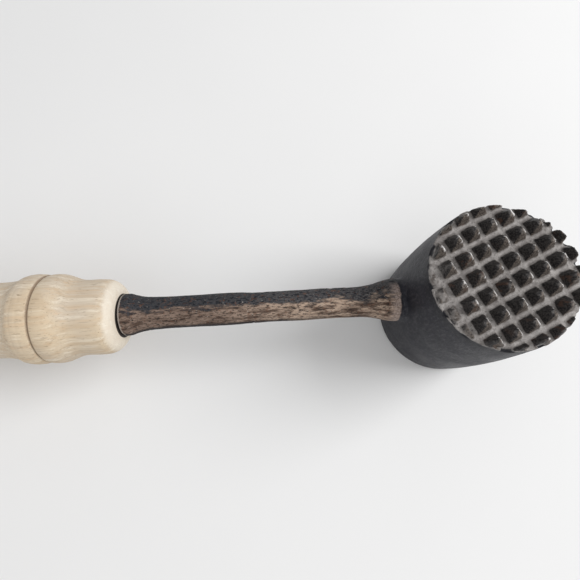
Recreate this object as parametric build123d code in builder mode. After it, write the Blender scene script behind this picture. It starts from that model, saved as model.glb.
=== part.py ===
"""Meat mallet: an iron head cast in one with its shank and tang, and a turned wooden handle.

Row frame: the origin is the centre of the head's flat base face, +Z runs up the head's axis
to the toothed face, and +X runs along the shank from the handle to the head.
"""
import os
from math import cos, radians, sin

from build123d import *

os.makedirs("parts", exist_ok=True)

# Head, a slightly flared barrel
face_radius = 24.0       # at the floor of the grooves
belly_radius = 26.3      # at mid-height
base_radius = 26.2
base_rounding = 2.0      # round between the base face and the side
body_height = 62.7       # base face to the floor of the grooves

# Teeth, a square grid of blunt pyramids cut by two crossed sets of grooves
tooth_pitch = 6.5
tooth_height = 4.5
tooth_tip = 1.8          # width of the blunt tip
rim_lean = 2.0           # the outermost teeth lean in by this much up to their tips
groove_floor = 1.6       # width of the flat groove floor
grid_turn = 23.4         # degrees from +X to the first groove normal
grid_shift = 0.7         # from the head's axis to the nearest groove of the first set
grooves_per_side = 3

# Shank, distances measured from the head's axis
shank_height = 34.3      # shank axis above the base face
shank_radius = 5.75
flare_root = (20.0, 8.4)     # buried in the head
flare_stations = [(27.0, 8.2), (31.7, 7.75), (35.2, 6.75), (39.1, 6.02)]
flare_end = 44.0
root_fillet = 1.0        # where the flare meets the head's side
taper_start = 82.0
taper_stations = [(106.0, 5.95), (118.0, 6.15), (123.0, 6.6), (126.5, 7.4)]
collar_start = 127.8
collar_radius = 7.9
collar_chamfer = 0.4
shoulder = 130.7         # the flat face next to the wood

# Tang, a round taper seated in the handle
tang_root_radius = 5.0
tang_tip_radius = 3.2
tang_length = 80.0

# Handle, stations measured from its shank end along its own axis
handle_gap = 0.3         # open line between the shoulder and the wood, at the axis
handle_offset = 0.4      # the wood's centre lies this far towards -Y at the shoulder
handle_skew = 1.1        # degrees that the wood sits askew on the tang, its butt towards +Y
handle_length = 120.0
end_face_radius = 8.5
end_rounding = 5.3
bore_clearance = 3.0     # empty bore past the end of the tang
neck_stations = [(end_rounding, 14.1), (10.5, 14.2), (15.2, 14.5), (17.6, 15.3), (20.3, 16.35)]
front_bead = [(20.3, 16.35), (23.4, 16.8), (26.5, 16.3)]
rear_bead = [(26.5, 16.3), (30.2, 17.0), (34.0, 16.5)]
grip_stations = [(34.0, 16.5), (36.4, 15.3), (41.5, 14.4), (50.0, 14.3), (82.0, 16.0), (109.0, 15.0)]
butt_edge = (118.2, 7.8)

# Both planes have their local X along a revolved body's axis and their local Y as its radius.
shank_plane = Plane(origin=(0, 0, shank_height), x_dir=(-1, 0, 0), z_dir=(0, 1, 0))
shank_axis = Axis(shank_plane.origin, shank_plane.x_dir)
handle_start = shoulder + handle_gap
handle_direction = (-cos(radians(handle_skew)), sin(radians(handle_skew)), 0)
handle_normal = (handle_direction[1], -handle_direction[0], 0)
handle_origin = (-handle_start, -handle_offset, shank_height)
handle_plane = Plane(origin=handle_origin, x_dir=handle_direction, z_dir=handle_normal)
handle_axis = Axis(handle_plane.origin, handle_plane.x_dir)


def groove_outline():
    """Section of one groove: a flat floor, steep sides, open at the top."""
    mouth = (tooth_pitch - tooth_tip) / 2
    floor = groove_floor / 2
    return [(-mouth, tooth_height), (-floor, 0), (floor, 0), (mouth, tooth_height)]


# One casting: head, teeth, shank and tang
with BuildPart() as head_and_shank:
    with BuildSketch(Plane.XZ) as head_section:
        with BuildLine() as head_outline:
            tip_height = body_height + tooth_height
            Line((0, 0), (base_radius - base_rounding, 0))
            TangentArc((base_radius - base_rounding, 0), (base_radius, base_rounding), tangent=(1, 0))
            side_points = [(base_radius, base_rounding), (belly_radius, body_height / 2)]
            ThreePointArc(*side_points, (face_radius, body_height))
            rim_tip = (face_radius - rim_lean, tip_height)
            Polyline((face_radius, body_height), rim_tip, (0, tip_height), (0, 0))
        make_face()
    revolve(axis=Axis.Z)

    # The same section serves both sets of grooves, the second square to the first.
    for turn, shift in ((grid_turn, grid_shift), (grid_turn + 90, 0)):
        across = (cos(radians(turn)), sin(radians(turn)), 0)
        along = (across[1], -across[0], 0)
        centre = (shift * across[0], shift * across[1], body_height)
        with BuildSketch(Plane(origin=centre, x_dir=across, z_dir=along)) as grooves:
            with GridLocations(tooth_pitch, 0, 2 * grooves_per_side + 1, 1):
                Polygon(groove_outline())
        extrude(amount=base_radius + tooth_pitch, both=True, mode=Mode.SUBTRACT)

    with BuildSketch(shank_plane) as shank_section:
        with BuildLine() as shank_outline:
            flare_rim = (flare_end, shank_radius)
            Line((flare_root[0], 0), flare_root)
            Spline(flare_root, *flare_stations, flare_rim, tangents=[(1, 0), (1, 0)])
            Line(flare_rim, (taper_start, shank_radius))
            Spline((taper_start, shank_radius), *taper_stations)
            Polyline(
                taper_stations[-1],
                (collar_start, collar_radius),
                (shoulder - collar_chamfer, collar_radius),
                (shoulder, collar_radius - collar_chamfer),
                (shoulder, tang_root_radius),
                (shoulder + tang_length, tang_tip_radius),
                (shoulder + tang_length, 0),
                (flare_root[0], 0),
            )
        make_face()
    revolve(axis=shank_axis)

    # The longest free-form edge is the ring where the flare meets the head's side.
    root_ring = head_and_shank.edges().filter_by(GeomType.BSPLINE).sort_by(SortBy.LENGTH)[-1]
    fillet(root_ring, radius=root_fillet)

# The handle is one turning, then bored along the shank's axis so that the tang fills the bore.
with BuildPart() as handle:
    with BuildSketch(handle_plane) as handle_section:
        with BuildLine() as handle_outline:
            butt = (handle_length, 0)
            end_face = (0, end_face_radius)
            TangentArc(end_face, neck_stations[0], tangent=(0, 1))
            Spline(*neck_stations)
            ThreePointArc(*front_bead)
            ThreePointArc(*rear_bead)
            Spline(*grip_stations)
            TangentArc(grip_stations[-1], butt_edge, tangent=(1, 0))
            TangentArc(butt, butt_edge, tangent=(0, 1))
            Polyline(butt, (0, 0), end_face)
        make_face()
    revolve(axis=handle_axis)

    with BuildSketch(shank_plane) as bore_section:
        tang_end = shoulder + tang_length
        with BuildLine() as bore_outline:
            Polyline(
                (shoulder, 0),
                (shoulder, tang_root_radius),
                (tang_end, tang_tip_radius),
                (tang_end + bore_clearance, tang_tip_radius),
                (tang_end + bore_clearance, 0),
                close=True,
            )
        make_face()
    revolve(axis=shank_axis, mode=Mode.SUBTRACT)

head_and_shank.part.label = "head_and_shank"
handle.part.label = "handle"
for piece in (head_and_shank, handle):
    export_step(piece.part, f"parts/{piece.part.label}.step")
    print(piece.part.label, "volume mm3:", round(piece.part.volume, 1))
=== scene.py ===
"""Meat mallet, looks: a worn iron casting and a bare turned wooden handle on a pale floor.

Lengths in the mesh code are millimetres in the row frame; objects are in metres.
"""
import itertools
from math import cos, pi, radians, sin

import bmesh
import bpy
import numpy as np
from mathutils import Matrix, Vector
from mathutils.bvhtree import BVHTree


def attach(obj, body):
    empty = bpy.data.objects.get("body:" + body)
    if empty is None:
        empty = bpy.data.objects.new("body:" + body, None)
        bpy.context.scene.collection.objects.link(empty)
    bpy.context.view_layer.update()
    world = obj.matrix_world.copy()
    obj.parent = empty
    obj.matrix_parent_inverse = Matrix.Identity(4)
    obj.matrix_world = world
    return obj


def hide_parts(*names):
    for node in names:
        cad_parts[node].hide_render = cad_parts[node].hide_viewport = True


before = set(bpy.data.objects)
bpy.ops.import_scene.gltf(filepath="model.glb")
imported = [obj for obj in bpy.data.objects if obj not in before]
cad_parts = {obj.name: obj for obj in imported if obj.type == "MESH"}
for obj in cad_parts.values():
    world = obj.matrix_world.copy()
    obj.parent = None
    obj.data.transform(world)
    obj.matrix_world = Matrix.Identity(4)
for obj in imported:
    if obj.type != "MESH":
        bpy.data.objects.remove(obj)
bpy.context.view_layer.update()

MM = 0.001

# ---------------------------------------------------------------- shape numbers
# Head and teeth, as in the CAD
BODY_HEIGHT = 62.7       # floor of the grooves above the base
TOOTH_HEIGHT = 4.5
TOOTH_PITCH = 6.5
GRID_TURN = radians(23.4)
GRID_SHIFT = 0.7
FACE_RADIUS = 24.0       # at the floor of the grooves

# Shank and handle axes
SHANK_HEIGHT = 34.3
ROOT_DISTANCE = 27.6     # from the head's axis to the edge of the shank's rough skin
SHOULDER = 130.7
TANG_ROOT_RADIUS = 5.0
TANG_TIP_RADIUS = 3.2
TANG_LENGTH = 80.0
BORE_LENGTH = 83.0
HANDLE_START = 131.0
HANDLE_OFFSET = 0.4
HANDLE_SKEW = radians(1.1)
HANDLE_LENGTH = 120.0
END_FACE_RADIUS = 8.5
END_ROUNDING = 5.3
BUTT_ROUNDING = 11.0
GROOVE_STATION = 26.5    # V groove between the two beads
TOOL_LINES = (29.9, 32.3)    # faint turning lines on the rear bead
GRAIN_RADIUS = 14.0      # where the handle's relief is sampled
PITH = (4.0, -6.0)       # Y and Z of the pith of the wood, which runs along X

# Mesh fineness
VOXEL = 0.35
MAX_TRIANGLES = 190_000


# ---------------------------------------------------------------- noise
def value_noise(points, cell, seed):
    """Smooth random field from -1 to 1 whose features are about one cell wide."""
    grid = points / cell
    base = np.floor(grid).astype(np.int64)
    part = grid - base
    ease = part * part * (3 - 2 * part)
    primes = np.array([73856093, 19349663, 83492791])
    total = np.zeros(len(points))
    for corner in itertools.product((0, 1), repeat=3):
        mixed = (base + corner) @ primes + seed * 40503
        mixed = ((mixed ^ (mixed >> 13)) * 1274126177) & 0xFFFFFFFF
        value = ((mixed ^ (mixed >> 16)) & 0xFFFF) / 32767.5 - 1
        weight = np.prod(np.where(corner, ease, 1 - ease), axis=1)
        total += weight * value
    return total


def layered_noise(points, cell, octaves, seed):
    """Several octaves of value_noise, each half as wide and half as strong."""
    total = np.zeros(len(points))
    for octave in range(octaves):
        total += value_noise(points, cell / 2**octave, seed + octave) / 2**octave
    return total


def smoothstep(low, high, value):
    """Ease from 0 at low to 1 at high."""
    part = np.clip((value - low) / (high - low), 0, 1)
    return part * part * (3 - 2 * part)


# ---------------------------------------------------------------- mesh helpers
def vertex_array(mesh):
    """Vertex positions in millimetres."""
    flat = np.empty(len(mesh.vertices) * 3)
    mesh.vertices.foreach_get("co", flat)
    return flat.reshape(-1, 3) / MM


def normal_array(mesh):
    flat = np.empty(len(mesh.vertices) * 3)
    mesh.vertex_normals.foreach_get("vector", flat)
    return flat.reshape(-1, 3)


def set_vertices(mesh, points):
    """Move the vertices to positions in millimetres."""
    mesh.vertices.foreach_set("co", (points * MM).ravel())
    mesh.update()


def with_modifier(source, name, kind, **settings):
    """A new mesh: the source object's mesh with one modifier applied."""
    modifier = source.modifiers.new(name, kind)
    for key, value in settings.items():
        setattr(modifier, key, value)
    graph = bpy.context.evaluated_depsgraph_get()
    mesh = bpy.data.meshes.new_from_object(source.evaluated_get(graph))
    source.modifiers.remove(modifier)
    return mesh


def triangle_count(mesh):
    return sum(len(face.vertices) - 2 for face in mesh.polygons)


def add_object(name, mesh):
    piece = bpy.data.objects.new(name, mesh)
    bpy.context.scene.collection.objects.link(piece)
    return piece


def shade_smooth(mesh):
    mesh.polygons.foreach_set("use_smooth", np.ones(len(mesh.polygons), bool))


# ---------------------------------------------------------------- iron casting
def tooth_grid(points):
    """Position across both sets of grooves, in pitches: whole numbers are groove centres."""
    across = points[:, 0] * cos(GRID_TURN) + points[:, 1] * sin(GRID_TURN) - GRID_SHIFT
    along = points[:, 1] * cos(GRID_TURN) - points[:, 0] * sin(GRID_TURN)
    return across / TOOTH_PITCH, along / TOOTH_PITCH


def tooth_random(column, row, seed):
    """One repeatable random number from 0 to 1 for each tooth."""
    cells = np.column_stack([np.floor(column), np.floor(row), np.zeros(len(column))])
    return (value_noise(cells + 0.01, 1.0, seed) + 1) / 2


def handle_side_wear(points):
    """From 0 to 1 at the rim of the toothed face that looks towards the handle."""
    towards = -points[:, 0] - 0.25 * points[:, 1] + 2.2 * value_noise(points * (1, 1, 0), 4.0, 10)
    return smoothstep(16.5, 23.0, towards)


def worn_teeth(points):
    """Teeth get their own height, lean and rounded tip, and the rim is chipped and worn."""
    column, row = tooth_grid(points)
    rise = np.clip(points[:, 2] - BODY_HEIGHT, 0, None)
    reach = np.hypot(points[:, 0], points[:, 1])
    height = 0.92 + 0.08 * tooth_random(column, row, 11) - 0.6 * handle_side_wear(points)
    rise = rise * np.clip(height, 0.2, 1)
    rise -= 0.35 * smoothstep(0.6, 1.0, rise / TOOTH_HEIGHT) * (1 + value_noise(points, 1.3, 12))
    lean = rise / TOOTH_HEIGHT
    shifted = points.copy()
    shifted[:, 0] += 0.5 * lean * (tooth_random(column, row, 13) - 0.5)
    shifted[:, 1] += 0.5 * lean * (tooth_random(column, row, 14) - 0.5)
    raised = points[:, 2] > BODY_HEIGHT
    shifted[raised, 2] = BODY_HEIGHT + rise[raised]
    rim_chip = smoothstep(0.0, 0.5, value_noise(points, 2.3, 15))
    rim_chip *= smoothstep(FACE_RADIUS - 2, FACE_RADIUS, reach)
    rim_chip *= smoothstep(BODY_HEIGHT - 1.8, BODY_HEIGHT, points[:, 2])
    shifted[:, 2] -= 0.9 * rim_chip
    shifted[:, :2] *= (1 - 0.02 * rim_chip)[:, None]
    return shifted


def casting_skin(points, normals):
    """Surface relief: fine on the head's side, coarse and pitted on the shank."""
    distance = -points[:, 0]
    wavering = distance + 0.4 * value_noise(points, 3.0, 20)
    on_shank = smoothstep(ROOT_DISTANCE - 0.2, ROOT_DISTANCE + 0.2, wavering)
    on_face = smoothstep(BODY_HEIGHT - 1.0, BODY_HEIGHT, points[:, 2])
    on_side = (1 - on_shank) * (1 - on_face)
    head_relief = -0.08 + 0.06 * layered_noise(points, 12.0, 3, 21) + 0.012 * value_noise(points, 1.1, 24)
    face_relief = 0.10 * layered_noise(points, 1.6, 2, 25)
    drawn = points * (0.4, 1, 1)
    shank_relief = 0.13 * layered_noise(drawn, 3.6, 4, 30)
    wide_pits = smoothstep(0.35, 0.75, value_noise(drawn, 1.3, 35))
    small_pits = smoothstep(0.5, 0.8, value_noise(points, 0.9, 36))
    shank_relief += 0.06 - 0.2 * (wide_pits + small_pits)
    relief = on_side * head_relief + on_face * face_relief + on_shank * shank_relief
    hidden = smoothstep(SHOULDER - 0.6, SHOULDER - 0.1, distance)
    return points + normals * (relief * (1 - hidden))[:, None]


def build_casting():
    """The CAD casting, remeshed evenly in line with the tooth grid, worn and roughened."""
    turned = Matrix.Rotation(-GRID_TURN, 4, "Z")
    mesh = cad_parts["head_and_shank"].data.copy()
    mesh.transform(turned)
    work = bmesh.new()
    work.from_mesh(mesh)
    bmesh.ops.remove_doubles(work, verts=work.verts, dist=1e-6)
    work.to_mesh(mesh)
    work.free()
    source = add_object("casting_source", mesh)
    even = with_modifier(source, "even", "REMESH", mode="VOXEL", voxel_size=VOXEL * MM)
    even.transform(turned.inverted())
    points = worn_teeth(vertex_array(even))
    set_vertices(even, points)
    points = casting_skin(points, normal_array(even))
    points[:, 2] = np.maximum(points[:, 2], 0)
    set_vertices(even, points)
    source.data = even
    share = MAX_TRIANGLES / triangle_count(even)
    final = even
    if share < 1:
        final = with_modifier(source, "thin", "DECIMATE", ratio=share)
    bpy.data.objects.remove(source)
    shade_smooth(final)
    store_masks(final)
    return add_object("iron_casting", final)


def store_masks(mesh):
    """Per-vertex values that the iron material reads, all about the teeth and their grooves."""
    points = vertex_array(mesh)
    height = points[:, 2] - BODY_HEIGHT
    column, row = tooth_grid(points)
    from_column = column - np.floor(column) - 0.5
    from_row = row - np.floor(row) - 0.5
    facing = np.where(abs(from_column) > abs(from_row), from_column, -from_row)
    ragged = 0.18 * value_noise(points, 0.9, 42)
    edge_length = smoothstep(0.0, 0.5, value_noise(points, 1.8, 43) + 0.45)
    near_tip = smoothstep(0.62, 0.78, height / TOOTH_HEIGHT)
    masks = {
        "groove_floor": 1 - smoothstep(0.12, 0.42, height + ragged),
        # lit_flank: which side of a tooth faces the key light, used for painted light and shade on the flanks
        "lit_flank": smoothstep(-0.08, 0.08, facing),
        # worn_glint_edge: a near-white edge near the top of each tooth's +X side, a painted highlight where
        # the key light strikes, partly bright worn metal
        "worn_glint_edge": smoothstep(0.09, 0.15, from_column) * near_tip * edge_length,
        "tooth_tone": tooth_random(column, row, 41),
        "rim_wear": handle_side_wear(points),
    }
    for name, values in masks.items():
        layer = mesh.attributes.new(name, "FLOAT", "POINT")
        layer.data.foreach_set("value", values.astype(np.float32))


# ---------------------------------------------------------------- wooden handle
HANDLE_AXIS = Vector((-cos(HANDLE_SKEW), sin(HANDLE_SKEW), 0))
HANDLE_SIDE = Vector((sin(HANDLE_SKEW), cos(HANDLE_SKEW), 0))
HANDLE_ORIGIN = Vector((-HANDLE_START, -HANDLE_OFFSET, SHANK_HEIGHT))
AROUND = 192
PROBE_ANGLE = 0.7        # away from the seam of the CAD surface


def handle_stations():
    """Stations along the handle: fine at its ends, the V groove and the tool lines, even between."""
    end_curve = [END_ROUNDING * (1 - cos(pi / 2 * step / 14)) for step in range(1, 14)]
    butt_curve = [HANDLE_LENGTH - BUTT_ROUNDING * (1 - cos(pi / 2 * step / 30)) for step in range(3, 30)]
    even = np.arange(END_ROUNDING, HANDLE_LENGTH - BUTT_ROUNDING, 0.6)
    stations = [end_curve, butt_curve]
    for line in (GROOVE_STATION, *TOOL_LINES):
        stations.append(line + np.arange(-0.8, 0.81, 0.1))
        even = even[abs(even - line) > 0.9]
    return np.sort(np.concatenate([*stations, even]))


def cad_radius(tree, station):
    """Radius of the CAD handle at a station, found by a ray from outside towards its axis."""
    centre = HANDLE_ORIGIN + HANDLE_AXIS * station
    outward = HANDLE_SIDE * cos(PROBE_ANGLE) + Vector((0, 0, sin(PROBE_ANGLE)))
    hit = tree.ray_cast((centre + outward * 40.0) * MM, -outward)[0]
    return (hit / MM - centre).length


def ring_points(centre, side, radius):
    """A ring about a centre, from the side direction towards +Z."""
    angles = np.linspace(0, 2 * pi, AROUND, endpoint=False)
    sideways = np.cos(angles)[:, None] * np.array(side)
    upwards = np.sin(angles)[:, None] * np.array((0, 0, 1))
    return np.array(centre)[None] + radius * (sideways + upwards)


def tang_radius(distance):
    """Radius of the bore around the tang, at a distance from the head's axis."""
    part = (distance - SHOULDER) / TANG_LENGTH
    return TANG_ROOT_RADIUS + (TANG_TIP_RADIUS - TANG_ROOT_RADIUS) * min(part, 1)


def wood_relief(points, stations):
    """Relief of the turned wood: the V groove, faint tool rings, slight waviness and open grain."""
    stretched = points * (0.06, 1, 1)
    relief = 0.05 * value_noise(points * (0.3, 1, 1), 9.0, 50)
    relief += 0.018 * value_noise(stretched, 0.55, 51) + 0.012 * value_noise(stretched, 0.3, 52)
    relief -= 0.5 * np.exp(-(((stations - GROOVE_STATION) / 0.34) ** 2))
    for line in TOOL_LINES:
        relief -= 0.05 * np.exp(-(((stations - line) / 0.5) ** 2))
    return relief - 0.05


def build_handle():
    """Rings lofted over the CAD handle's own radii, and down its bore."""
    work = bmesh.new()
    work.from_mesh(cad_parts["handle"].data)
    tree = BVHTree.FromBMesh(work)
    work.free()

    rings = []
    bore_side = (0, 1, 0)
    for depth in np.linspace(BORE_LENGTH, 4.0, 12):
        distance = SHOULDER + depth
        rings.append(ring_points((-distance, 0, SHANK_HEIGHT), bore_side, tang_radius(distance)))
    for radius in (5.0, 6.0, 7.0, 7.8, END_FACE_RADIUS):
        rings.append(ring_points(HANDLE_ORIGIN, HANDLE_SIDE, radius))
    for station in handle_stations():
        centre = HANDLE_ORIGIN + HANDLE_AXIS * float(station)
        ring = ring_points(centre, HANDLE_SIDE, 1.0)
        outward = ring - np.array(centre)[None]
        relief = wood_relief(np.array(centre)[None] + outward * GRAIN_RADIUS, station)
        fade = smoothstep(0.0, 2.0, station) * smoothstep(0.0, 2.0, HANDLE_LENGTH - station)
        rings.append(np.array(centre)[None] + outward * (cad_radius(tree, station) + relief * fade)[:, None])
    butt = HANDLE_ORIGIN + HANDLE_AXIS * HANDLE_LENGTH
    bore_end = Vector((-(SHOULDER + BORE_LENGTH), 0, SHANK_HEIGHT))

    points = np.concatenate(rings + [np.array(butt)[None], np.array(bore_end)[None]])
    last = len(rings) * AROUND
    faces = []
    for ring, step in itertools.product(range(len(rings) - 1), range(AROUND)):
        here, after = ring * AROUND, (ring + 1) * AROUND
        follow = (step + 1) % AROUND
        faces.append((here + step, here + follow, after + follow, after + step))
    for step in range(AROUND):
        follow = (step + 1) % AROUND
        faces.append((last - AROUND + step, last - AROUND + follow, last))
        faces.append((follow, step, last + 1))
    mesh = bpy.data.meshes.new("wooden_handle")
    mesh.from_pydata((points * MM).tolist(), [], faces)
    work = bmesh.new()
    work.from_mesh(mesh)
    bmesh.ops.recalc_face_normals(work, faces=work.faces)
    work.to_mesh(mesh)
    work.free()
    shade_smooth(mesh)
    return add_object("wooden_handle", mesh)


# ---------------------------------------------------------------- node helpers
class Nodes:
    """Short calls for making a material's node tree."""

    def __init__(self, name):
        self.material = bpy.data.materials.new(name)
        self.material.use_nodes = True
        self.tree = self.material.node_tree
        self.shader = self.tree.nodes["Principled BSDF"]

    def wire(self, socket, value):
        """Link another node's output to a socket, or set the socket's own value."""
        if isinstance(value, bpy.types.NodeSocket):
            self.tree.links.new(value, socket)
        else:
            socket.default_value = value

    def position(self, scale=(1, 1, 1)):
        """Object coordinates in millimetres, stretched by a scale."""
        place = self.tree.nodes.new("ShaderNodeTexCoord")
        mapping = self.tree.nodes.new("ShaderNodeMapping")
        mapping.inputs["Scale"].default_value = Vector(scale) / MM
        self.tree.links.new(place.outputs["Object"], mapping.inputs["Vector"])
        return mapping.outputs["Vector"]

    def noise(self, vector, cell, detail=2.0, roughness=0.5, distortion=0.0):
        """Noise from 0 to 1 with features about one cell wide."""
        node = self.tree.nodes.new("ShaderNodeTexNoise")
        self.tree.links.new(vector, node.inputs["Vector"])
        node.inputs["Scale"].default_value = 1 / cell
        node.inputs["Detail"].default_value = detail
        node.inputs["Roughness"].default_value = roughness
        node.inputs["Distortion"].default_value = distortion
        return node.outputs["Fac"]

    def attribute(self, name):
        node = self.tree.nodes.new("ShaderNodeAttribute")
        node.attribute_name = name
        return node.outputs["Fac"]

    def math(self, operation, first, second=0.0, third=0.0):
        node = self.tree.nodes.new("ShaderNodeMath")
        node.operation = operation
        for socket, value in zip(node.inputs, (first, second, third)):
            self.wire(socket, value)
        return node.outputs[0]

    def length(self, first, second):
        """Length of a vector from its two parts."""
        squares = [self.math("MULTIPLY", part, part) for part in (first, second)]
        return self.math("SQRT", self.math("ADD", *squares))

    def range(self, value, low, high, start=0.0, end=1.0):
        """A value between low and high, eased to run from start to end."""
        node = self.tree.nodes.new("ShaderNodeMapRange")
        node.interpolation_type = "SMOOTHSTEP"
        for name, number in (("From Min", low), ("From Max", high), ("To Min", start), ("To Max", end)):
            node.inputs[name].default_value = number
        self.wire(node.inputs["Value"], value)
        return node.outputs["Result"]

    def mix(self, share, first, second):
        """Blend two colours, each a socket or an (r, g, b)."""
        node = self.tree.nodes.new("ShaderNodeMix")
        node.data_type = "RGBA"
        self.wire(node.inputs["Factor"], share)
        for socket, colour in ((node.inputs["A"], first), (node.inputs["B"], second)):
            self.wire(socket, colour if isinstance(colour, bpy.types.NodeSocket) else (*colour, 1))
        return node.outputs["Result"]

    def split(self, vector):
        node = self.tree.nodes.new("ShaderNodeSeparateXYZ")
        self.tree.links.new(vector, node.inputs[0])
        return node.outputs

    def bump(self, height, distance, strength=1.0):
        """Normal from a height field in millimetres of relief."""
        node = self.tree.nodes.new("ShaderNodeBump")
        node.inputs["Distance"].default_value = distance * MM
        node.inputs["Strength"].default_value = strength
        self.wire(node.inputs["Height"], height)
        return node.outputs["Normal"]


# ---------------------------------------------------------------- materials
def iron_material():
    """Dark dressed head, brown rough shank, and teeth with pale floors and dark sides, with painted light and
    shade on the teeth, under the face's rim, on the shank's underside and along the collar's rim.
    """
    n = Nodes("worn_cast_iron")
    place = n.position()
    x, y, z = n.split(place)
    fine = n.noise(place, 0.5, 3, 0.6)
    medium = n.noise(place, 2.2, 4, 0.6)
    broad = n.noise(place, 9.0, 3, 0.55)
    distance = n.math("MULTIPLY", x, -1.0)

    # Head's side: near-black grey with a fine mottled grain and faint upright scratches
    grain = n.noise(n.position((1.0, 1.0, 0.45)), 0.9, 4, 0.65)
    scratches = n.noise(n.position((1.0, 1.0, 0.07)), 0.6, 2, 0.5)
    side = n.mix(n.range(broad, 0.3, 0.7), (0.013, 0.014, 0.020), (0.024, 0.024, 0.031))
    side = n.mix(n.range(grain, 0.48, 0.66, 0, 0.7), side, (0.056, 0.053, 0.060))
    side = n.mix(n.range(grain, 0.5, 0.3, 0, 0.7), side, (0.014, 0.014, 0.017))
    side = n.mix(n.range(scratches, 0.62, 0.78, 0, 0.3), side, (0.10, 0.097, 0.095))
    # Painted shade: a darker band on the head's side just under the face's rim.
    wavering_height = n.math("ADD", z, n.math("MULTIPLY", medium, 3.0))
    under_rim_shade = n.range(wavering_height, BODY_HEIGHT - 4.0, BODY_HEIGHT - 0.5, 0, 0.5)
    side = n.mix(under_rim_shade, side, (0.014, 0.014, 0.016))

    # Shank: dark towards +Y, tan and rust on the rest, drawn out along it in rough patches
    drawn = n.noise(n.position((0.22, 1, 1)), 1.5, 4, 0.62)
    drawn_fine = n.noise(n.position((0.35, 1, 1)), 0.5, 3, 0.65)
    patch = n.noise(n.position((0.35, 1, 1)), 4.5, 2, 0.5)
    lean = n.math("ADD", n.math("MULTIPLY", y, -0.16), n.math("MULTIPLY_ADD", drawn, 1.5, -0.72))
    lean = n.math("ADD", lean, n.math("MULTIPLY_ADD", patch, 0.7, -0.35))
    near_head = n.range(distance, 105.0, 55.0)
    tan_share = n.range(lean, -0.14, 0.26)
    pale_dark = n.mix(near_head, (0.085, 0.088, 0.098), (0.175, 0.168, 0.172))
    dark = n.mix(n.range(drawn_fine, 0.42, 0.62), (0.015, 0.016, 0.020), pale_dark)
    pale_tan = n.mix(near_head, (0.23, 0.165, 0.13), (0.46, 0.345, 0.265))
    tan = n.mix(n.range(drawn, 0.36, 0.62), (0.080, 0.050, 0.037), pale_tan)
    shank = n.mix(tan_share, dark, tan)
    shank = n.mix(n.range(drawn_fine, 0.49, 0.64, 0, 0.85), shank, (0.017, 0.014, 0.013))
    rust = n.range(n.noise(place, 1.4, 3, 0.6), 0.56, 0.7, 0, 0.6)
    shank = n.mix(rust, shank, (0.13, 0.060, 0.036))
    glints = n.range(n.noise(n.position((0.5, 1, 1)), 0.42, 1, 0.5), 0.70, 0.78, 0, 0.8)
    shank = n.mix(glints, shank, (0.42, 0.38, 0.34))
    root_patch = n.range(distance, ROOT_DISTANCE + 4.5, ROOT_DISTANCE + 1.0, 0, 0.75)
    root_patch = n.math("MULTIPLY", root_patch, n.range(y, 6.0, 3.0))
    pinkish = n.mix(n.range(fine, 0.35, 0.65), (0.19, 0.145, 0.125), (0.50, 0.40, 0.36))
    shank = n.mix(root_patch, shank, pinkish)
    # Painted shade: the shank's lower side, below about its axis, darkened most towards the handle.
    wavering_height = n.math("ADD", z, n.math("MULTIPLY", medium, 1.6))
    underside_shade = n.range(wavering_height, SHANK_HEIGHT + 3.4, SHANK_HEIGHT + 2.0)
    underside_shade = n.math("MULTIPLY", underside_shade, n.range(distance, 52.0, 75.0, 0.15, 0.92))
    shank = n.mix(underside_shade, shank, (0.020, 0.019, 0.021))
    # Painted highlight: a pale line along the collar's rim where it meets the wood.
    collar_rim_highlight = n.range(n.math("MULTIPLY_ADD", fine, 0.8, distance), SHOULDER - 0.6, SHOULDER - 0.3, 0, 0.8)
    shank = n.mix(collar_rim_highlight, shank, (0.44, 0.39, 0.35))

    # Toothed face: pale floors and dark teeth, partly dust and patina and partly painted light and shade,
    # with painted light on the flanks facing the key and a near-white edge on each tooth's +X side, partly
    # worn metal and partly a painted highlight
    # Pale floors against dark flanks: partly dust in the grooves and dark patina on the teeth, partly painted
    # light on the upward floors and painted shade on the steep flanks.
    floor = n.attribute("groove_floor")
    floor_colour = n.mix(n.range(medium, 0.3, 0.7), (0.165, 0.150, 0.143), (0.31, 0.292, 0.280))
    floor_colour = n.mix(n.range(fine, 0.54, 0.7, 0, 0.75), floor_colour, (0.070, 0.062, 0.058))
    # Painted light and shade on the teeth: flanks facing the key light (+X and -Y) get a lighter colour, the
    # others a darker shaded one.
    shaded = n.mix(n.range(fine, 0.38, 0.62), (0.014, 0.013, 0.014), (0.056, 0.051, 0.049))
    painted_lit_flank_colour = n.mix(n.range(fine, 0.38, 0.62), (0.040, 0.033, 0.029), (0.150, 0.126, 0.108))
    flank_colour = n.mix(n.attribute("lit_flank"), shaded, painted_lit_flank_colour)
    rust_spots = n.range(n.noise(place, 2.2, 3, 0.6), 0.5, 0.66)
    rust_share = n.math("MULTIPLY", rust_spots, n.range(n.attribute("tooth_tone"), 0.5, 0.85, 0, 0.6))
    flank_colour = n.mix(rust_share, flank_colour, (0.095, 0.052, 0.036))
    smear = n.math("MULTIPLY", n.attribute("rim_wear"), n.range(medium, 0.42, 0.56, 0.15, 0.85))
    flank_colour = n.mix(smear, flank_colour, floor_colour)
    face = n.mix(floor, flank_colour, floor_colour)
    # Painted highlight, partly worn metal: a near-white edge near the top of each tooth's +X side.
    face = n.mix(n.attribute("worn_glint_edge"), face, (0.78, 0.76, 0.75))

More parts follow.
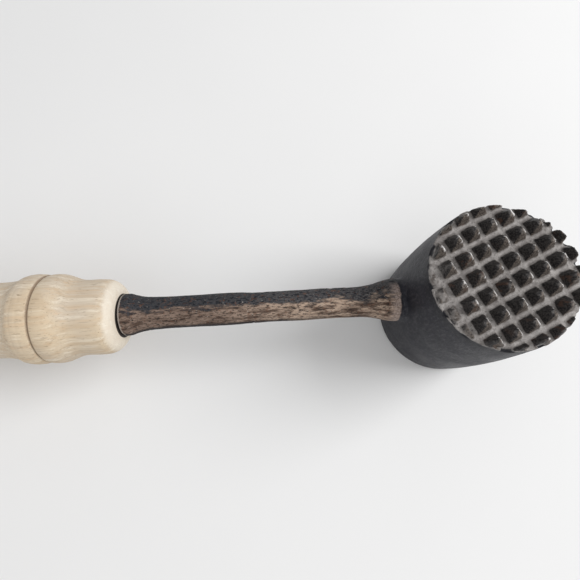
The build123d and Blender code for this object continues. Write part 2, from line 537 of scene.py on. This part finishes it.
    edge_noise = n.math("MULTIPLY_ADD", medium, 1.6, -0.8)
    on_shank = n.range(n.math("ADD", distance, edge_noise), ROOT_DISTANCE - 0.3, ROOT_DISTANCE + 0.3)
    reach = n.length(x, y)
    above = n.range(n.math("ADD", z, edge_noise), BODY_HEIGHT - 0.5, BODY_HEIGHT - 0.2)
    within_rim = n.range(reach, FACE_RADIUS - 0.6, FACE_RADIUS - 1.2)
    inside = n.math("MULTIPLY", within_rim, n.range(z, BODY_HEIGHT - 3.0, BODY_HEIGHT - 2.0))
    on_face = n.math("MAXIMUM", above, inside)
    colour = n.mix(on_shank, side, shank)
    colour = n.mix(on_face, colour, face)
    n.wire(n.shader.inputs["Base Color"], colour)

    rough_side = n.range(broad, 0.3, 0.7, 0.42, 0.55)
    rough_shank = n.range(fine, 0.3, 0.7, 0.6, 0.85)
    rough = n.math("ADD", n.math("MULTIPLY", rough_side, n.math("SUBTRACT", 1.0, on_shank)),
                   n.math("MULTIPLY", rough_shank, on_shank))
    n.wire(n.shader.inputs["Roughness"], rough)
    n.shader.inputs["Metallic"].default_value = 0.1
    n.shader.inputs["Specular IOR Level"].default_value = 0.2
    grit = n.math("ADD", fine, n.math("MULTIPLY", medium, 0.8))
    n.wire(n.shader.inputs["Normal"], n.bump(grit, 0.14, 0.8))
    return n.material


def wood_material():
    """Bare pale hardwood: growth lines, straight fibre, dark strokes, a paler end that is partly end grain
    and partly painted light, and painted shade in the groove and at the shoulder.
    """
    n = Nodes("bare_pale_wood")
    place = n.position()
    x, y, z = n.split(place)
    station = n.math("SUBTRACT", n.math("MULTIPLY", x, -1.0), HANDLE_START)
    # Growth layers are shells about a pith that runs below the handle.
    warp = n.noise(n.position((0.12, 1, 1)), 7.0, 2, 0.5)
    across = n.math("ADD", y, -PITH[0])
    deep = n.math("ADD", z, -PITH[1])
    from_pith = n.length(across, deep)
    layer = n.math("ADD", from_pith, n.math("MULTIPLY", warp, 5.0))
    wave = n.math("SINE", n.math("MULTIPLY", layer, 2 * pi / 3.1))
    fibre = n.noise(n.position((0.05, 1, 1)), 0.45, 3, 0.65)
    streak = n.noise(n.position((0.035, 1, 1)), 1.5, 3, 0.6)
    strokes = n.noise(n.position((0.09, 1, 1)), 0.42, 2, 0.6)
    pores = n.noise(n.position((0.16, 1, 1)), 0.36, 1, 0.5)
    wide = n.noise(place, 20.0, 2, 0.5)

    colour = n.mix(n.range(wide, 0.35, 0.65), (0.63, 0.51, 0.36), (0.60, 0.51, 0.40))
    colour = n.mix(n.range(wave, 0.55, 1.0, 0, 0.35), colour, (0.50, 0.37, 0.24))
    colour = n.mix(n.range(streak, 0.5, 0.7, 0, 0.55), colour, (0.60, 0.43, 0.27))
    colour = n.mix(n.range(streak, 0.48, 0.32, 0, 0.5), colour, (0.82, 0.74, 0.61))
    colour = n.mix(n.range(fibre, 0.5, 0.72, 0, 0.5), colour, (0.47, 0.37, 0.27))
    colour = n.mix(n.range(strokes, 0.6, 0.7, 0, 0.6), colour, (0.33, 0.245, 0.165))
    colour = n.mix(n.range(pores, 0.70, 0.78, 0, 0.75), colour, (0.19, 0.12, 0.07))
    # A paler band at the handle's end: partly end grain, partly painted light where the end rounding faces
    # the key.
    end_grain_and_light = n.range(n.math("ADD", station, n.math("MULTIPLY", warp, 1.5)), 4.4, 2.4, 0, 0.6)
    colour = n.mix(end_grain_and_light, colour, n.mix(fibre, (0.86, 0.81, 0.72), (0.76, 0.70, 0.60)))
    # Painted shade in the V groove: a dark brown line along its bottom.
    off_groove = n.math("ABSOLUTE", n.math("SUBTRACT", station, GROOVE_STATION))
    colour = n.mix(n.range(off_groove, 0.75, 0.15, 0, 0.8), colour, (0.19, 0.125, 0.078))
    # Painted shadow in the gap where the wood meets the shoulder, thicker towards -Y
    rise = n.math("SUBTRACT", z, SHANK_HEIGHT)
    from_shank = n.length(y, rise)
    reach = n.math("ADD", from_shank, n.math("MULTIPLY", y, 0.03))
    gap_shade = n.math("MULTIPLY", n.range(reach, 8.5, 8.2), n.range(station, 1.2, 0.6))
    colour = n.mix(gap_shade, colour, (0.020, 0.015, 0.012))
    n.wire(n.shader.inputs["Base Color"], colour)
    n.wire(n.shader.inputs["Roughness"], n.range(fibre, 0.3, 0.7, 0.62, 0.75))
    height = n.math("ADD", fibre, n.math("MULTIPLY", n.range(strokes, 0.58, 0.72), -0.8))
    n.wire(n.shader.inputs["Normal"], n.bump(height, 0.07, 0.7))
    return n.material


def floor_material():
    """Matt pale grey with a barely visible cloud."""
    n = Nodes("pale_floor")
    cloud = n.noise(n.position(), 60.0, 2, 0.5)
    n.wire(n.shader.inputs["Base Color"], n.mix(cloud, (0.78, 0.78, 0.78), (0.80, 0.80, 0.80)))
    n.shader.inputs["Roughness"].default_value = 0.9
    return n.material


# ---------------------------------------------------------------- stage, lights, camera
def build_floor():
    """A plain floor, wide enough to fill every view."""
    bpy.ops.mesh.primitive_plane_add(size=6.0)
    floor = bpy.context.object
    floor.name = "pale_floor"
    floor.data.materials.append(floor_material())


def area_light(name, place, size, power):
    """A soft square lamp that looks at the head and shank."""
    light = bpy.data.lights.new(name, "AREA")
    light.shape = "SQUARE"
    light.size = size
    light.energy = power
    lamp = bpy.data.objects.new(name, light)
    lamp.location = place
    target = Vector((-0.06, 0, 0.03))
    lamp.rotation_euler = (target - Vector(place)).to_track_quat("-Z", "Y").to_euler()
    bpy.context.scene.collection.objects.link(lamp)


def build_lights():
    """One soft key from the head's side, a weaker fill, and an even room."""
    area_light("key", (0.9, 0.15, 0.95), 0.8, 14.5)
    area_light("fill", (-0.4, -0.7, 1.1), 1.2, 4)
    world = bpy.data.worlds.new("soft_room")
    world.use_nodes = True
    world.node_tree.nodes["Background"].inputs["Color"].default_value = (1, 1, 1, 1)
    world.node_tree.nodes["Background"].inputs["Strength"].default_value = 0.45
    bpy.context.scene.world = world


def build_camera():
    """A phone-like wide view from close above, the handle running out of the frame."""
    data = bpy.data.cameras.new("camera")
    data.sensor_width = 36.0
    data.lens = 24.39
    data.clip_start = 0.01
    camera = bpy.data.objects.new("camera", data)
    camera.location = Vector((-69.5, -30.7, 181.5)) * MM
    camera.rotation_euler = [radians(angle) for angle in (14.07, 0.05, -3.24)]
    bpy.context.scene.collection.objects.link(camera)
    bpy.context.scene.camera = camera


# ---------------------------------------------------------------- build
build_camera()
build_lights()
build_floor()
bpy.context.scene.view_settings.view_transform = "Standard"

casting = build_casting()
casting.data.materials.clear()
casting.data.materials.append(iron_material())
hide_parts("head_and_shank")
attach(casting, "root")

grip = build_handle()
grip.data.materials.append(wood_material())
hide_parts("handle")
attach(grip, "root")
